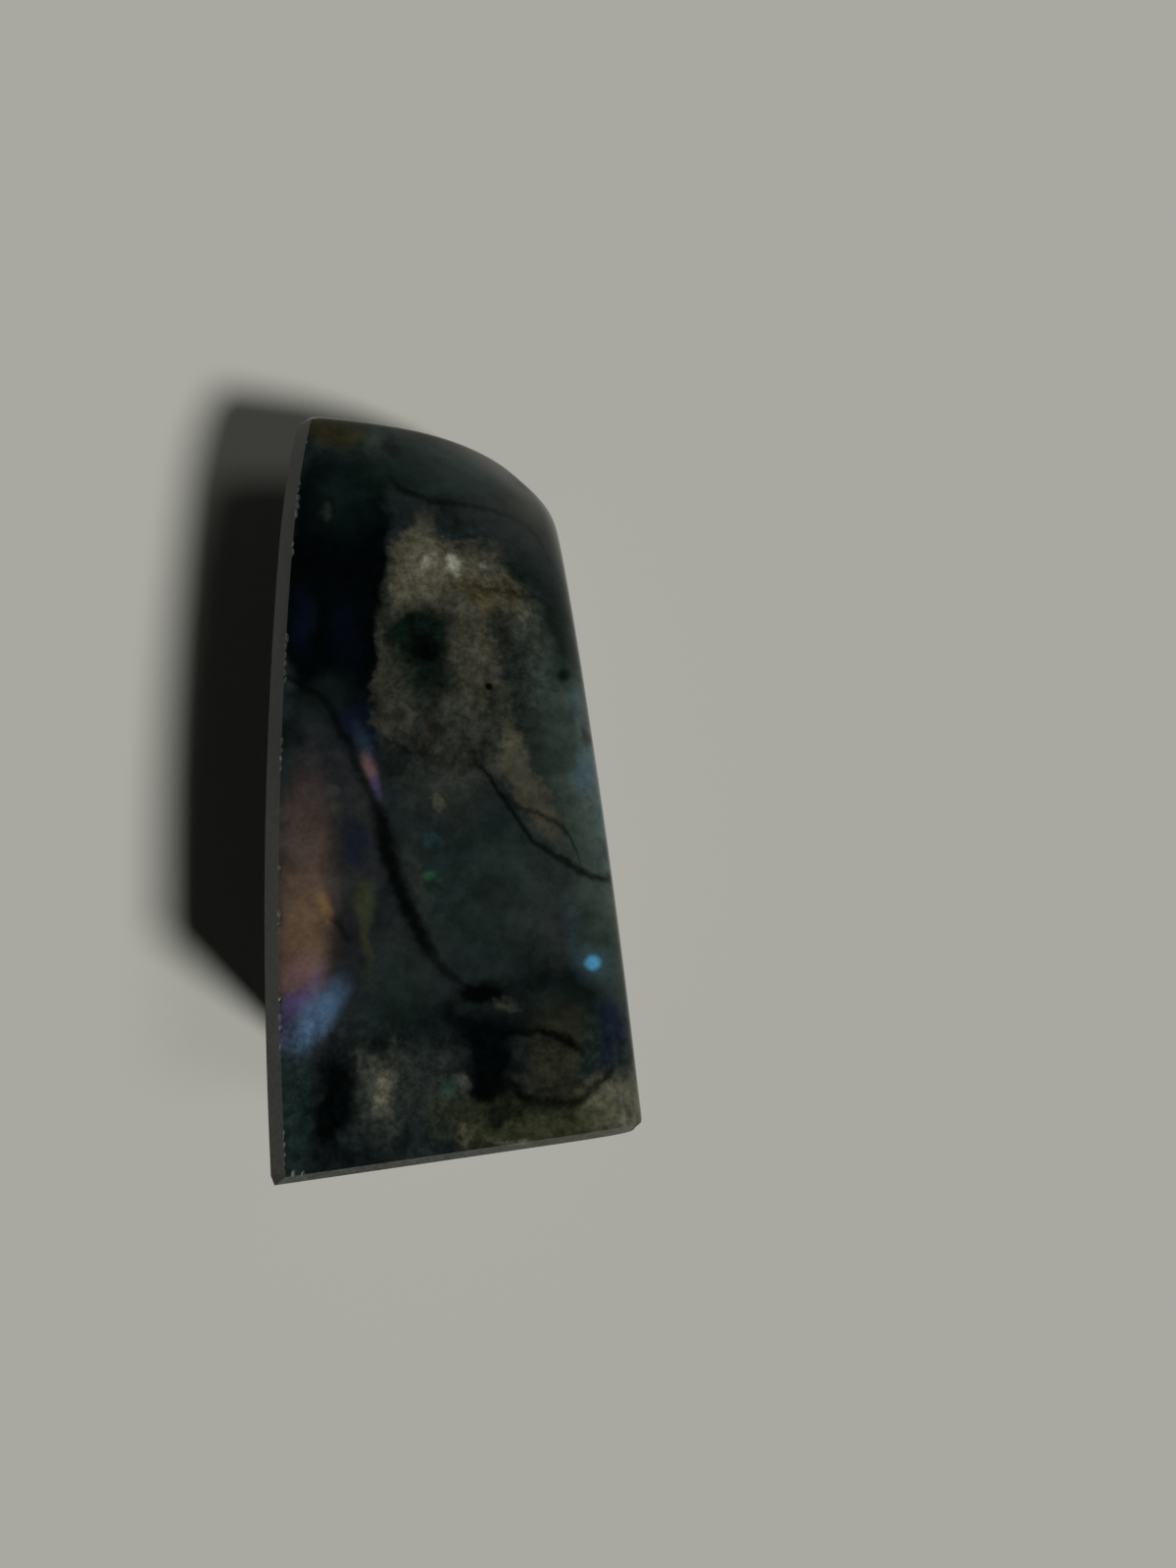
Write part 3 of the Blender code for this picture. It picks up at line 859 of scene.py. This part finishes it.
# Where along the block the veil of a cut edge starts to change, and where it has changed, in millimetres
GAIN_FROM, GAIN_TO = 5.0, -12.0
POLISHED = Finish("Polished labradorite", 0.18, 0.10, 0.004 * MM, 0.9)
SAWN = Finish("Sawn and polished side", 0.22, 0.28, 0.004 * MM, 0.9, veil=(0.05, 0.055, 0.05),
              veil_share=0.07)
GROUND = Finish("Ground arris", 0.38, 0.25, 0.02 * MM, 2.5, veil=(0.085, 0.086, 0.074), veil_share=0.50,
                base_gain=0.6)
# Chip finish: paler broken stone, with a painted glint of light in its white veil
CHIP_WITH_GLINT = Finish("Chip with painted glint", 0.34, 0.35, 0.03 * MM, 4.0, veil=(0.17, 0.175, 0.165), veil_share=0.6)
RESTING = Finish("Ground resting side", 0.55, 0.25, 0.03 * MM, 4.0, veil=(0.060, 0.064, 0.058),
                 veil_share=0.55)


@dataclass(frozen=True)
class ArrisChips:
    """Small shell-shaped chips along a crisp arris, as one cutter.

    Args:
        spacing: How far apart chips may be.
        smallest: The smallest chip's radius.
        largest: The largest chip's radius.
        stretch: How many times longer along the arris than across it a chip is.
        lift: How far the cutters' middles stand out of the arris.
        bare: The share of the arris that has no chips.
        outward: The way straight out of the arris.
        run_scale: How many runs of chips and bare edge there are in a millimetre.
        tilt: How many radians a chip may lean to either side.
        spin: How many radians a chip may turn about the arris.
        seed: The seed of every random draw.
    """

    spacing: float = 0.7 * MM
    smallest: float = 0.10 * MM
    largest: float = 0.30 * MM
    stretch: float = 2.2
    lift: float = 0.08 * MM
    bare: float = 0.52
    outward: Place = (-0.38, 0.0, 0.92)
    run_scale: float = 0.17
    tilt: float = 0.25
    spin: float = 6.28
    seed: int = 7

    def tree(self, material: bpy.types.Material) -> bpy.types.NodeTree:
        """Return the Geometry Nodes tree that sets a lump on an edge path wherever it is to be chipped.

        Args:
            material: The material of the chips.

        Returns:
            The tree, with its sizes as named inputs.
        """
        tree = bpy.data.node_groups.new("Arris chips", "GeometryNodeTree")
        face = tree.interface
        face.new_socket("Geometry", in_out="INPUT", socket_type="NodeSocketGeometry")
        for name in ("Spacing", "Smallest", "Largest", "Stretch", "Lift", "Bare"):
            face.new_socket(name, in_out="INPUT", socket_type="NodeSocketFloat")
        face.new_socket("Seed", in_out="INPUT", socket_type="NodeSocketInt")
        face.new_socket("Geometry", in_out="OUTPUT", socket_type="NodeSocketGeometry")
        wires = Wiring(tree)
        given = wires.add("NodeGroupInput").outputs
        path = wires.add("GeometryNodeMeshToCurve", {"Mesh": given["Geometry"]})
        along = {"Curve": path.outputs["Curve"], "Length": given["Spacing"]}
        spots = wires.add("GeometryNodeCurveToPoints", along, mode="LENGTH")
        out = {"Geometry": spots.outputs["Points"], "Offset": wires.scaled(self.outward, given["Lift"])}
        moved = wires.add("GeometryNodeSetPosition", out)
        runs = wires.clouds(self.shifted(wires, given["Seed"]), self.run_scale, 3, 0.75)
        levels = {0: runs.outputs["Fac"], 1: given["Bare"]}
        below = wires.add("FunctionNodeCompare", levels, operation="LESS_THAN", data_type="FLOAT")
        bared = {"Geometry": moved.outputs["Geometry"], "Selection": below.outputs["Result"]}
        kept = wires.add("GeometryNodeDeleteGeometry", bared, domain="POINT")
        lump = wires.add("GeometryNodeMeshIcoSphere", {"Radius": 1.0, "Subdivisions": 2})
        least, most = (-self.tilt, 0.0, -self.tilt), (self.tilt, self.spin, self.tilt)
        low, high = (self.long_size(wires, given[name], given["Stretch"]) for name in ("Smallest", "Largest"))
        placed = wires.add("GeometryNodeInstanceOnPoints", {
            "Points": kept.outputs["Geometry"],
            "Instance": lump.outputs["Mesh"],
            "Rotation": self.drawn(wires, least, most, given["Seed"]),
            "Scale": self.drawn(wires, low, high, given["Seed"]),
        })
        real = wires.add("GeometryNodeRealizeInstances", {"Geometry": placed.outputs["Instances"]})
        dressing = {"Geometry": real.outputs["Geometry"], "Material": material}
        dressed = wires.add("GeometryNodeSetMaterial", dressing)
        wires.add("NodeGroupOutput", {"Geometry": dressed.outputs["Geometry"]})
        return tree

    def shifted(self, wires: Wiring, seed: object) -> object:
        """Return places in millimetres, moved along by the seed."""
        place = wires.scaled(wires.add("GeometryNodeInputPosition").outputs[0], 1 / MM)
        step = wires.add("ShaderNodeCombineXYZ", {0: seed})
        return wires.vector("ADD", place, step.outputs[0])

    def long_size(self, wires: Wiring, size: object, stretch: object) -> object:
        """Return a chip's size each way, stretched along the arris."""
        sizes = {0: size, 1: wires.math("MULTIPLY", size, stretch), 2: size}
        return wires.add("ShaderNodeCombineXYZ", sizes).outputs[0]

    def drawn(self, wires: Wiring, low: object, high: object, seed: object) -> object:
        """Return a random vector between two."""
        given = {0: low, 1: high, "Seed": seed}
        return wires.add("FunctionNodeRandomValue", given, data_type="FLOAT_VECTOR").outputs[0]

    def cutter(self, path: bpy.types.Mesh, material: bpy.types.Material) -> bpy.types.Object:
        """Return the chips' cutter.

        Args:
            path: The arris, as a mesh of edges.
            material: The material of the chips.

        Returns:
            The cutter, as a plain mesh object.
        """
        guide = shown("Chipped arris", path)
        tree = self.tree(material)
        chips = guide.modifiers.new("Chips", "NODES")
        chips.node_group = tree
        values = {"Spacing": self.spacing, "Smallest": self.smallest, "Largest": self.largest,
                  "Stretch": self.stretch, "Lift": self.lift, "Bare": self.bare, "Seed": self.seed}
        for item in tree.interface.items_tree:
            if item.in_out == "INPUT" and item.name in values:
                chips[item.identifier] = values[item.name]
        mesh = settled_mesh(guide)
        bpy.data.objects.remove(guide)
        return shown("Chips", mesh)


def shown(name: str, data: bpy.types.ID) -> bpy.types.Object:
    """Return a new object in the scene for a mesh, a light or a camera."""
    piece = bpy.data.objects.new(name, data)
    bpy.context.scene.collection.objects.link(piece)
    return piece


def settled_mesh(piece: bpy.types.Object) -> bpy.types.Mesh:
    """Return a plain mesh of a piece with its modifiers worked out."""
    bpy.context.view_layer.update()
    graph = bpy.context.evaluated_depsgraph_get()
    return bpy.data.meshes.new_from_object(piece.evaluated_get(graph), depsgraph=graph)


def work_in(piece: bpy.types.Object, name: str, kind: str, **settings: object) -> None:
    """Work one modifier into a piece's mesh.

    Args:
        piece: The piece.
        name: The modifier's name.
        kind: Its type.
        settings: Values for its properties.
    """
    modifier = piece.modifiers.new(name, kind)
    for key, value in settings.items():
        setattr(modifier, key, value)
    mesh = settled_mesh(piece)
    piece.modifiers.clear()
    piece.data = mesh


@contextmanager
def edited(mesh: bpy.types.Mesh) -> Iterator[bmesh.types.BMesh]:
    """Give a mesh's parts to change, and write them back to it."""
    bm = bmesh.new()
    bm.from_mesh(mesh)
    yield bm
    bm.to_mesh(mesh)
    bm.free()


CUTS = {
    frozenset((Side.FACE, Side.LEFT)): 1.5 * MM,
    frozenset((Side.FACE, Side.BASE)): 0.6 * MM,
    frozenset((Side.LEFT, Side.BASE)): 0.5 * MM,
    frozenset((Side.BACK, Side.LEFT)): 0.7 * MM,
    frozenset((Side.BACK, Side.BASE)): 0.6 * MM,
}
ROUNDINGS = {
    frozenset((Side.FACE, Side.RIGHT)): 1.8 * MM,
    frozenset((Side.FACE, Side.END)): 1.2 * MM,
    frozenset((Side.LEFT, Side.END)): 0.9 * MM,
    frozenset((Side.RIGHT, Side.BASE)): 0.9 * MM,
    frozenset((Side.BACK, Side.RIGHT)): 1.2 * MM,
    frozenset((Side.BACK, Side.END)): 1.0 * MM,
}
CUT_END_ROUNDING = 0.9 * MM
SKIN = ("polished", "ground", "resting", "sawn")
POLISHED_SLOT, GROUND_SLOT, RESTING_SLOT, SAWN_SLOT = range(len(SKIN))
SIDE_SLOTS = {Side.BACK: RESTING_SLOT, Side.LEFT: SAWN_SLOT, Side.BASE: SAWN_SLOT}
ON_SIDE = 0.999
SETTLING_ROUNDS = 40
SETTLED = 1e-8
AXIS_SIDES = ((Side.LEFT, Side.RIGHT), (Side.BASE, Side.END), (Side.BACK, Side.FACE))
SIDE_AXIS = {side: axis for axis, pair in enumerate(AXIS_SIDES) for side in pair}


@dataclass(frozen=True)
class Stone:
    """The block of labradorite: its sides, its cut and rounded edges and its chips.

    Args:
        form: Where its sides are.
        chips: The chips along its long cut edge.
        cuts: How many strips each way the cube is cut in before it is bent.
        unevenness: How far the hand-ground sides dip.
        dips_per_metre: How closely the dips follow each other.
        fineness: How many times the skin is subdivided.
        crisp_angle: How many degrees a cut edge turns where it stays crisp when the skin is subdivided.
        sharp_angle: How many degrees an edge turns where the light breaks on it.
        chipped_share: How far towards the left side, as a share of its reach, the chipped arris lies.
    """

    form: BlockForm = BlockForm()
    chips: ArrisChips = ArrisChips()
    cuts: tuple[int, int, int] = (8, 20, 6)
    unevenness: float = 0.05 * MM
    dips_per_metre: float = 110.0
    fineness: int = 3
    crisp_angle: float = 22.0
    sharp_angle: float = 32.0
    chipped_share: float = 0.7

    def build(self, finishes: dict[str, bpy.types.Material]) -> bpy.types.Object:
        """Build the stone.

        Args:
            finishes: The materials for its skin, cut edges, chips, resting side and sawn sides.

        Returns:
            The finished piece.
        """
        stone = self.block(finishes)
        self.cut_edges(stone)
        arris = self.long_arris(stone)
        self.round_edges(stone)
        self.subdivide(stone)
        self.cut_chips(stone, self.chips.cutter(arris, finishes["chip_with_glint"]))
        stone.data.set_sharp_from_angle(angle=math.radians(self.sharp_angle))
        return stone

    def block(self, finishes: dict[str, bpy.types.Material]) -> bpy.types.Object:
        """Return the block with sharp edges, each face marked with its side."""
        mesh = bpy.data.meshes.new("Stone")
        with edited(mesh) as bm:
            self.cut_cube(bm)
            marks = bm.faces.layers.int.new("side")
            weights = bm.edges.layers.float.new("bevel_weight_edge")
            for face in bm.faces:
                side = self.sides_of(face.calc_center_median())[0]
                face[marks] = side.value
                face.material_index = SIDE_SLOTS.get(side, POLISHED_SLOT)
                face.smooth = True
            for edge in bm.edges:
                pair = frozenset(Side(face[marks]) for face in edge.link_faces)
                edge[weights] = CUTS.get(pair, 0.0) / max(CUTS.values())
            self.bend(bm)
            bmesh.ops.recalc_face_normals(bm, faces=bm.faces[:])
        for name in SKIN:
            mesh.materials.append(finishes[name])
        return shown("Polished_block", mesh)

    def cut_cube(self, bm: bmesh.types.BMesh) -> None:
        """Make a cube two units wide, with ring cuts each way."""
        bmesh.ops.create_cube(bm, size=2.0)
        for axis, cuts in enumerate(self.cuts):
            across = Vector((0, 0, 0))
            across[axis] = 1.0
            for step in range(1, cuts):
                middle = across * (2.0 * step / cuts - 1.0)
                whole = bm.verts[:] + bm.edges[:] + bm.faces[:]
                bmesh.ops.bisect_plane(bm, geom=whole, plane_co=middle, plane_no=across)

    def sides_of(self, cube_point: Vector) -> list[Side]:
        """Return the sides that a point of the cube lies on."""
        found = []
        for value, (low, high) in zip(cube_point, AXIS_SIDES):
            if abs(value) > ON_SIDE:
                found.append(low if value < 0 else high)
        return found

    def settle(self, start: Vector, on: list[Side], sides: dict[Side, Surface]) -> Vector:
        """Move a point along its sides' own axes until it lies on all of them.

        Args:
            start: Where the point starts.
            on: The sides that it belongs to.
            sides: The surface of each side.

        Returns:
            The point in its place.
        """
        point = start.copy()
        for _ in range(SETTLING_ROUNDS):
            moved = 0.0
            for side in on:
                over, out = sides[side].over(point)
                axis = SIDE_AXIS[side]
                point[axis] -= over / out[axis]
                moved = max(moved, abs(over))
            if moved < SETTLED:
                break
        return point

    def bend(self, bm: bmesh.types.BMesh) -> None:
        """Move the cube's points out to the sides of the block, and let the skin dip a little."""
        sides = self.form.sides()
        half = self.form.half()
        corners = {}
        for x in (-1, 1):
            for y in (-1, 1):
                for z in (-1, 1):
                    start = Vector((half.x * x, half.y * y, half.z * (z + 1)))
                    corners[x, y, z] = self.settle(start, self.sides_of((x, y, z)), sides)
        for vert in bm.verts:
            on = self.sides_of(vert.co)
            low, high = (self.placed(Vector((vert.co.x, vert.co.y, z)), corners, sides) for z in (-1, 1))
            vert.co = low.lerp(high, (vert.co.z + 1) / 2)
            if len(on) == 1 and on[0] not in (Side.BACK, Side.BASE):
                _, out = sides[on[0]].over(vert.co)
                dip = noise.noise(vert.co * self.dips_per_metre) * 0.5 + 0.5
                vert.co -= out * (dip * self.unevenness)

    def placed(self, cube_point: Vector, corners: dict[Place, Vector], sides: dict[Side, Surface]) -> Vector:
        """Return where a point of the cube's top or bottom goes on the block.

        Args:
            cube_point: The point on the cube.
            corners: The block's corners, by the cube's.
            sides: The surface of each side.

        Returns:
            The point on the block.
        """
        start = Vector((0, 0, 0))
        for signs, corner in corners.items():
            start += corner * math.prod((1 + sign * value) / 2 for sign, value in zip(signs, cube_point))
        on = self.sides_of(cube_point)
        drawn_in = self.form.round_corner(self.settle(start, on, sides), sides)
        return self.settle(drawn_in, [side for side in on if side in (Side.BACK, Side.FACE)], sides)

    def cut_edges(self, stone: bpy.types.Object) -> None:
        """Cut the block's crisp edges flat."""
        work_in(stone, "Cut edges", "BEVEL", limit_method="WEIGHT", width=max(CUTS.values()), segments=1,
                use_clamp_overlap=False, material=GROUND_SLOT)

    def long_arris(self, stone: bpy.types.Object) -> bpy.types.Mesh:
        """Return the line where the long cut edge meets the face, as a mesh of edges."""
        bm = bmesh.new()
        bm.from_mesh(stone.data)
        marks = bm.faces.layers.int["side"]
        line = []
        for edge in bm.edges:
            finishes = {face.material_index for face in edge.link_faces}
            onto_face = any(face.material_index == POLISHED_SLOT and face[marks] == Side.FACE.value
                            for face in edge.link_faces)
            middle = (edge.verts[0].co + edge.verts[1].co) / 2
            at_left = middle.x < -self.chipped_share * self.form.left_reach
            if finishes == {POLISHED_SLOT, GROUND_SLOT} and onto_face and at_left:
                line.append(edge)
        kept = set(line)
        bmesh.ops.delete(bm, geom=[edge for edge in bm.edges if edge not in kept], context="EDGES_FACES")
        bmesh.ops.delete(bm, geom=[vert for vert in bm.verts if not vert.link_edges], context="VERTS")
        mesh = bpy.data.meshes.new("Arris")
        bm.to_mesh(mesh)
        bm.free()
        return mesh

    def round_edges(self, stone: bpy.types.Object) -> None:
        """Round the block's worn edges and crease its crisp ones."""
        widest = max(ROUNDINGS.values())
        with edited(stone.data) as bm:
            marks = bm.faces.layers.int["side"]
            weights = bm.edges.layers.float["bevel_weight_edge"]
            for edge in bm.edges:
                edge[weights] = self.rounding(edge, marks) / widest
        work_in(stone, "Round edges", "BEVEL", limit_method="WEIGHT", width=widest, segments=3,
                use_clamp_overlap=False)
        self.crease(stone.data)

    def rounding(self, edge: bmesh.types.BMEdge, marks: bmesh.types.BMLayerItem) -> float:
        """Return how wide an edge is rounded."""
        cut = [face for face in edge.link_faces if face.material_index == GROUND_SLOT]
        whole = [face for face in edge.link_faces if face.material_index != GROUND_SLOT]
        if not cut:
            return ROUNDINGS.get(frozenset(Side(face[marks]) for face in whole), 0.0)
        if len(cut) == 2:
            return 0.0
        beside = {near for side in cut[0].edges for near in side.link_faces}
        touched = {Side(near[marks]) for near in beside if near.material_index != GROUND_SLOT}
        pairs = [pair for pair in CUTS if pair <= touched]
        ends = pairs and len(touched) > 2 and Side(whole[0][marks]) not in pairs[0]
        return CUT_END_ROUNDING if ends else 0.0

    def crease(self, mesh: bpy.types.Mesh) -> None:
        """Crease the edges between cut strips and the sides they were cut from."""
        with edited(mesh) as bm:
            creases = bm.edges.layers.float.get("crease_edge") or bm.edges.layers.float.new("crease_edge")
            for edge in bm.edges:
                finishes = {face.material_index for face in edge.link_faces}
                turned = edge.calc_face_angle(0.0) > math.radians(self.crisp_angle)
                edge[creases] = 1.0 if GROUND_SLOT in finishes and turned else 0.0

    def subdivide(self, stone: bpy.types.Object) -> None:
        """Make the skin fine enough to look smooth."""
        work_in(stone, "Skin", "SUBSURF", levels=self.fineness, render_levels=self.fineness)

    def cut_chips(self, stone: bpy.types.Object, cutter: bpy.types.Object) -> None:
        """Cut the chips out of the stone."""
        work_in(stone, "Chips", "BOOLEAN", operation="DIFFERENCE", solver="MANIFOLD",
                material_mode="TRANSFER", object=cutter)
        bpy.data.objects.remove(cutter)


@dataclass(frozen=True)
class Studio:
    """The pale floor, the light and the camera.

    Args:
        floor_half: Half the floor's width.
        floor_drop: How far the floor is under the stone.
        floor_colour: The floor's colour.
        key: The strength of the key light.
        key_towards: The way from the stone to it.
        key_width: How many degrees wide it looks from the stone.
        second: The strength of the light beside it.
        second_towards: The way from the stone to it.
        second_width: How many degrees wide it looks from the stone.
        sky: The strength of the light from overhead.
        horizon: The strength of the light from low down, all round.
        backdrop: How bright the surroundings look to the camera.
        camera_place: Where the camera is.
        camera_lean: How many degrees the camera leans from straight down.
        camera_lens: The camera's focal length in millimetres, for a sensor as wide.
    """

    floor_half: float = 2.0
    floor_drop: float = 0.05 * MM
    floor_colour: Colour = (0.64, 0.635, 0.575)
    key: float = 2.25
    key_towards: Place = (0.65, -0.53, 1.0)
    key_width: float = 9.0
    second: float = 0.22
    second_towards: Place = (0.65, -0.09, 1.0)
    second_width: float = 12.0
    sky: float = 0.006
    horizon: float = 0.30
    backdrop: float = 0.45
    camera_place: Place = (10.65 * MM, -7.35 * MM, 120 * MM)
    camera_lean: float = 3.9
    camera_lens: float = 36.0

    def build(self) -> None:
        """Build it all."""
        self.floor()
        self.sun("Key light", Vector(self.key_towards), self.key, self.key_width)
        self.sun("Second light", Vector(self.second_towards), self.second, self.second_width)
        self.surroundings()
        self.camera()

    def floor(self) -> None:
        """Lay the floor."""
        mesh = bpy.data.meshes.new("Floor")
        with edited(mesh) as bm:
            bmesh.ops.create_grid(bm, x_segments=1, y_segments=1, size=self.floor_half)
            bmesh.ops.translate(bm, verts=bm.verts[:], vec=(0, 0, -self.floor_drop))
        material = bpy.data.materials.new("Pale floor")
        material.use_nodes = True
        shader = material.node_tree.nodes["Principled BSDF"]
        look = {"Base Color": (*self.floor_colour, 1.0), "Roughness": 0.9, "Specular IOR Level": 0.1}
        Wiring(material.node_tree).fill(shader, look)
        mesh.materials.append(material)
        floor = shown("Floor", mesh)

    def sun(self, name: str, towards: Vector, strength: float, width: float) -> None:
        """Hang a light far away.

        Args:
            name: Its name.
            towards: The way from the stone to the light.
            strength: Its strength.
            width: How many degrees wide it looks from the stone.
        """
        data = bpy.data.lights.new(name, "SUN")
        data.energy = strength
        data.angle = math.radians(width)
        light = shown(name, data)
        light.rotation_euler = towards.to_track_quat("Z", "Y").to_euler()

    def surroundings(self) -> None:
        """Light the stone faintly: a dim room overhead, a paler one low down and a pale backdrop."""
        world = bpy.data.worlds.new("Surroundings")
        world.use_nodes = True
        wires = Wiring(world.node_tree)
        background = world.node_tree.nodes["Background"]
        height = wires.split(wires.add("ShaderNodeTexCoord").outputs["Generated"])[2]
        low = wires.ease(wires.math("ABSOLUTE", height), 0.28, 0.02)
        glow = wires.math("MULTIPLY_ADD", low, self.horizon, self.sky)
        seen = wires.add("ShaderNodeLightPath").outputs["Is Camera Ray"]
        shown = wires.math("MULTIPLY", seen, self.backdrop)
        strength = wires.math("MAXIMUM", glow, shown)
        wires.fill(background, {"Color": (1.0, 0.99, 0.95, 1.0), "Strength": strength})
        bpy.context.scene.world = world

    def camera(self) -> None:
        """Set the camera over the stone, as the photograph was taken."""
        data = bpy.data.cameras.new("Camera")
        data.lens = self.camera_lens
        data.sensor_width = self.camera_lens
        data.sensor_fit = "HORIZONTAL"
        data.clip_start = 5 * MM
        camera = shown("Camera", data)
        camera.location = self.camera_place
        camera.rotation_euler = (math.radians(self.camera_lean), 0.0, 0.0)
        bpy.context.scene.camera = camera
        bpy.context.scene.view_settings.view_transform = "Standard"


def main() -> None:
    """Build the stone and its surroundings."""
    logging.basicConfig(level=logging.INFO, format="%(message)s")
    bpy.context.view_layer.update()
    body = LabradoriteBody().build()
    skins = {"polished": POLISHED, "ground": GROUND, "chip_with_glint": CHIP_WITH_GLINT, "resting": RESTING, "sawn": SAWN}
    finishes = {name: finish.material(body) for name, finish in skins.items()}
    stone = Stone().build(finishes)
    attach(stone, "root")
    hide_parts(NODE)
    LOG.info("%s: %d faces", stone.name, len(stone.data.polygons))
    Studio().build()
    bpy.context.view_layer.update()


if __name__ == "__main__":
    main()
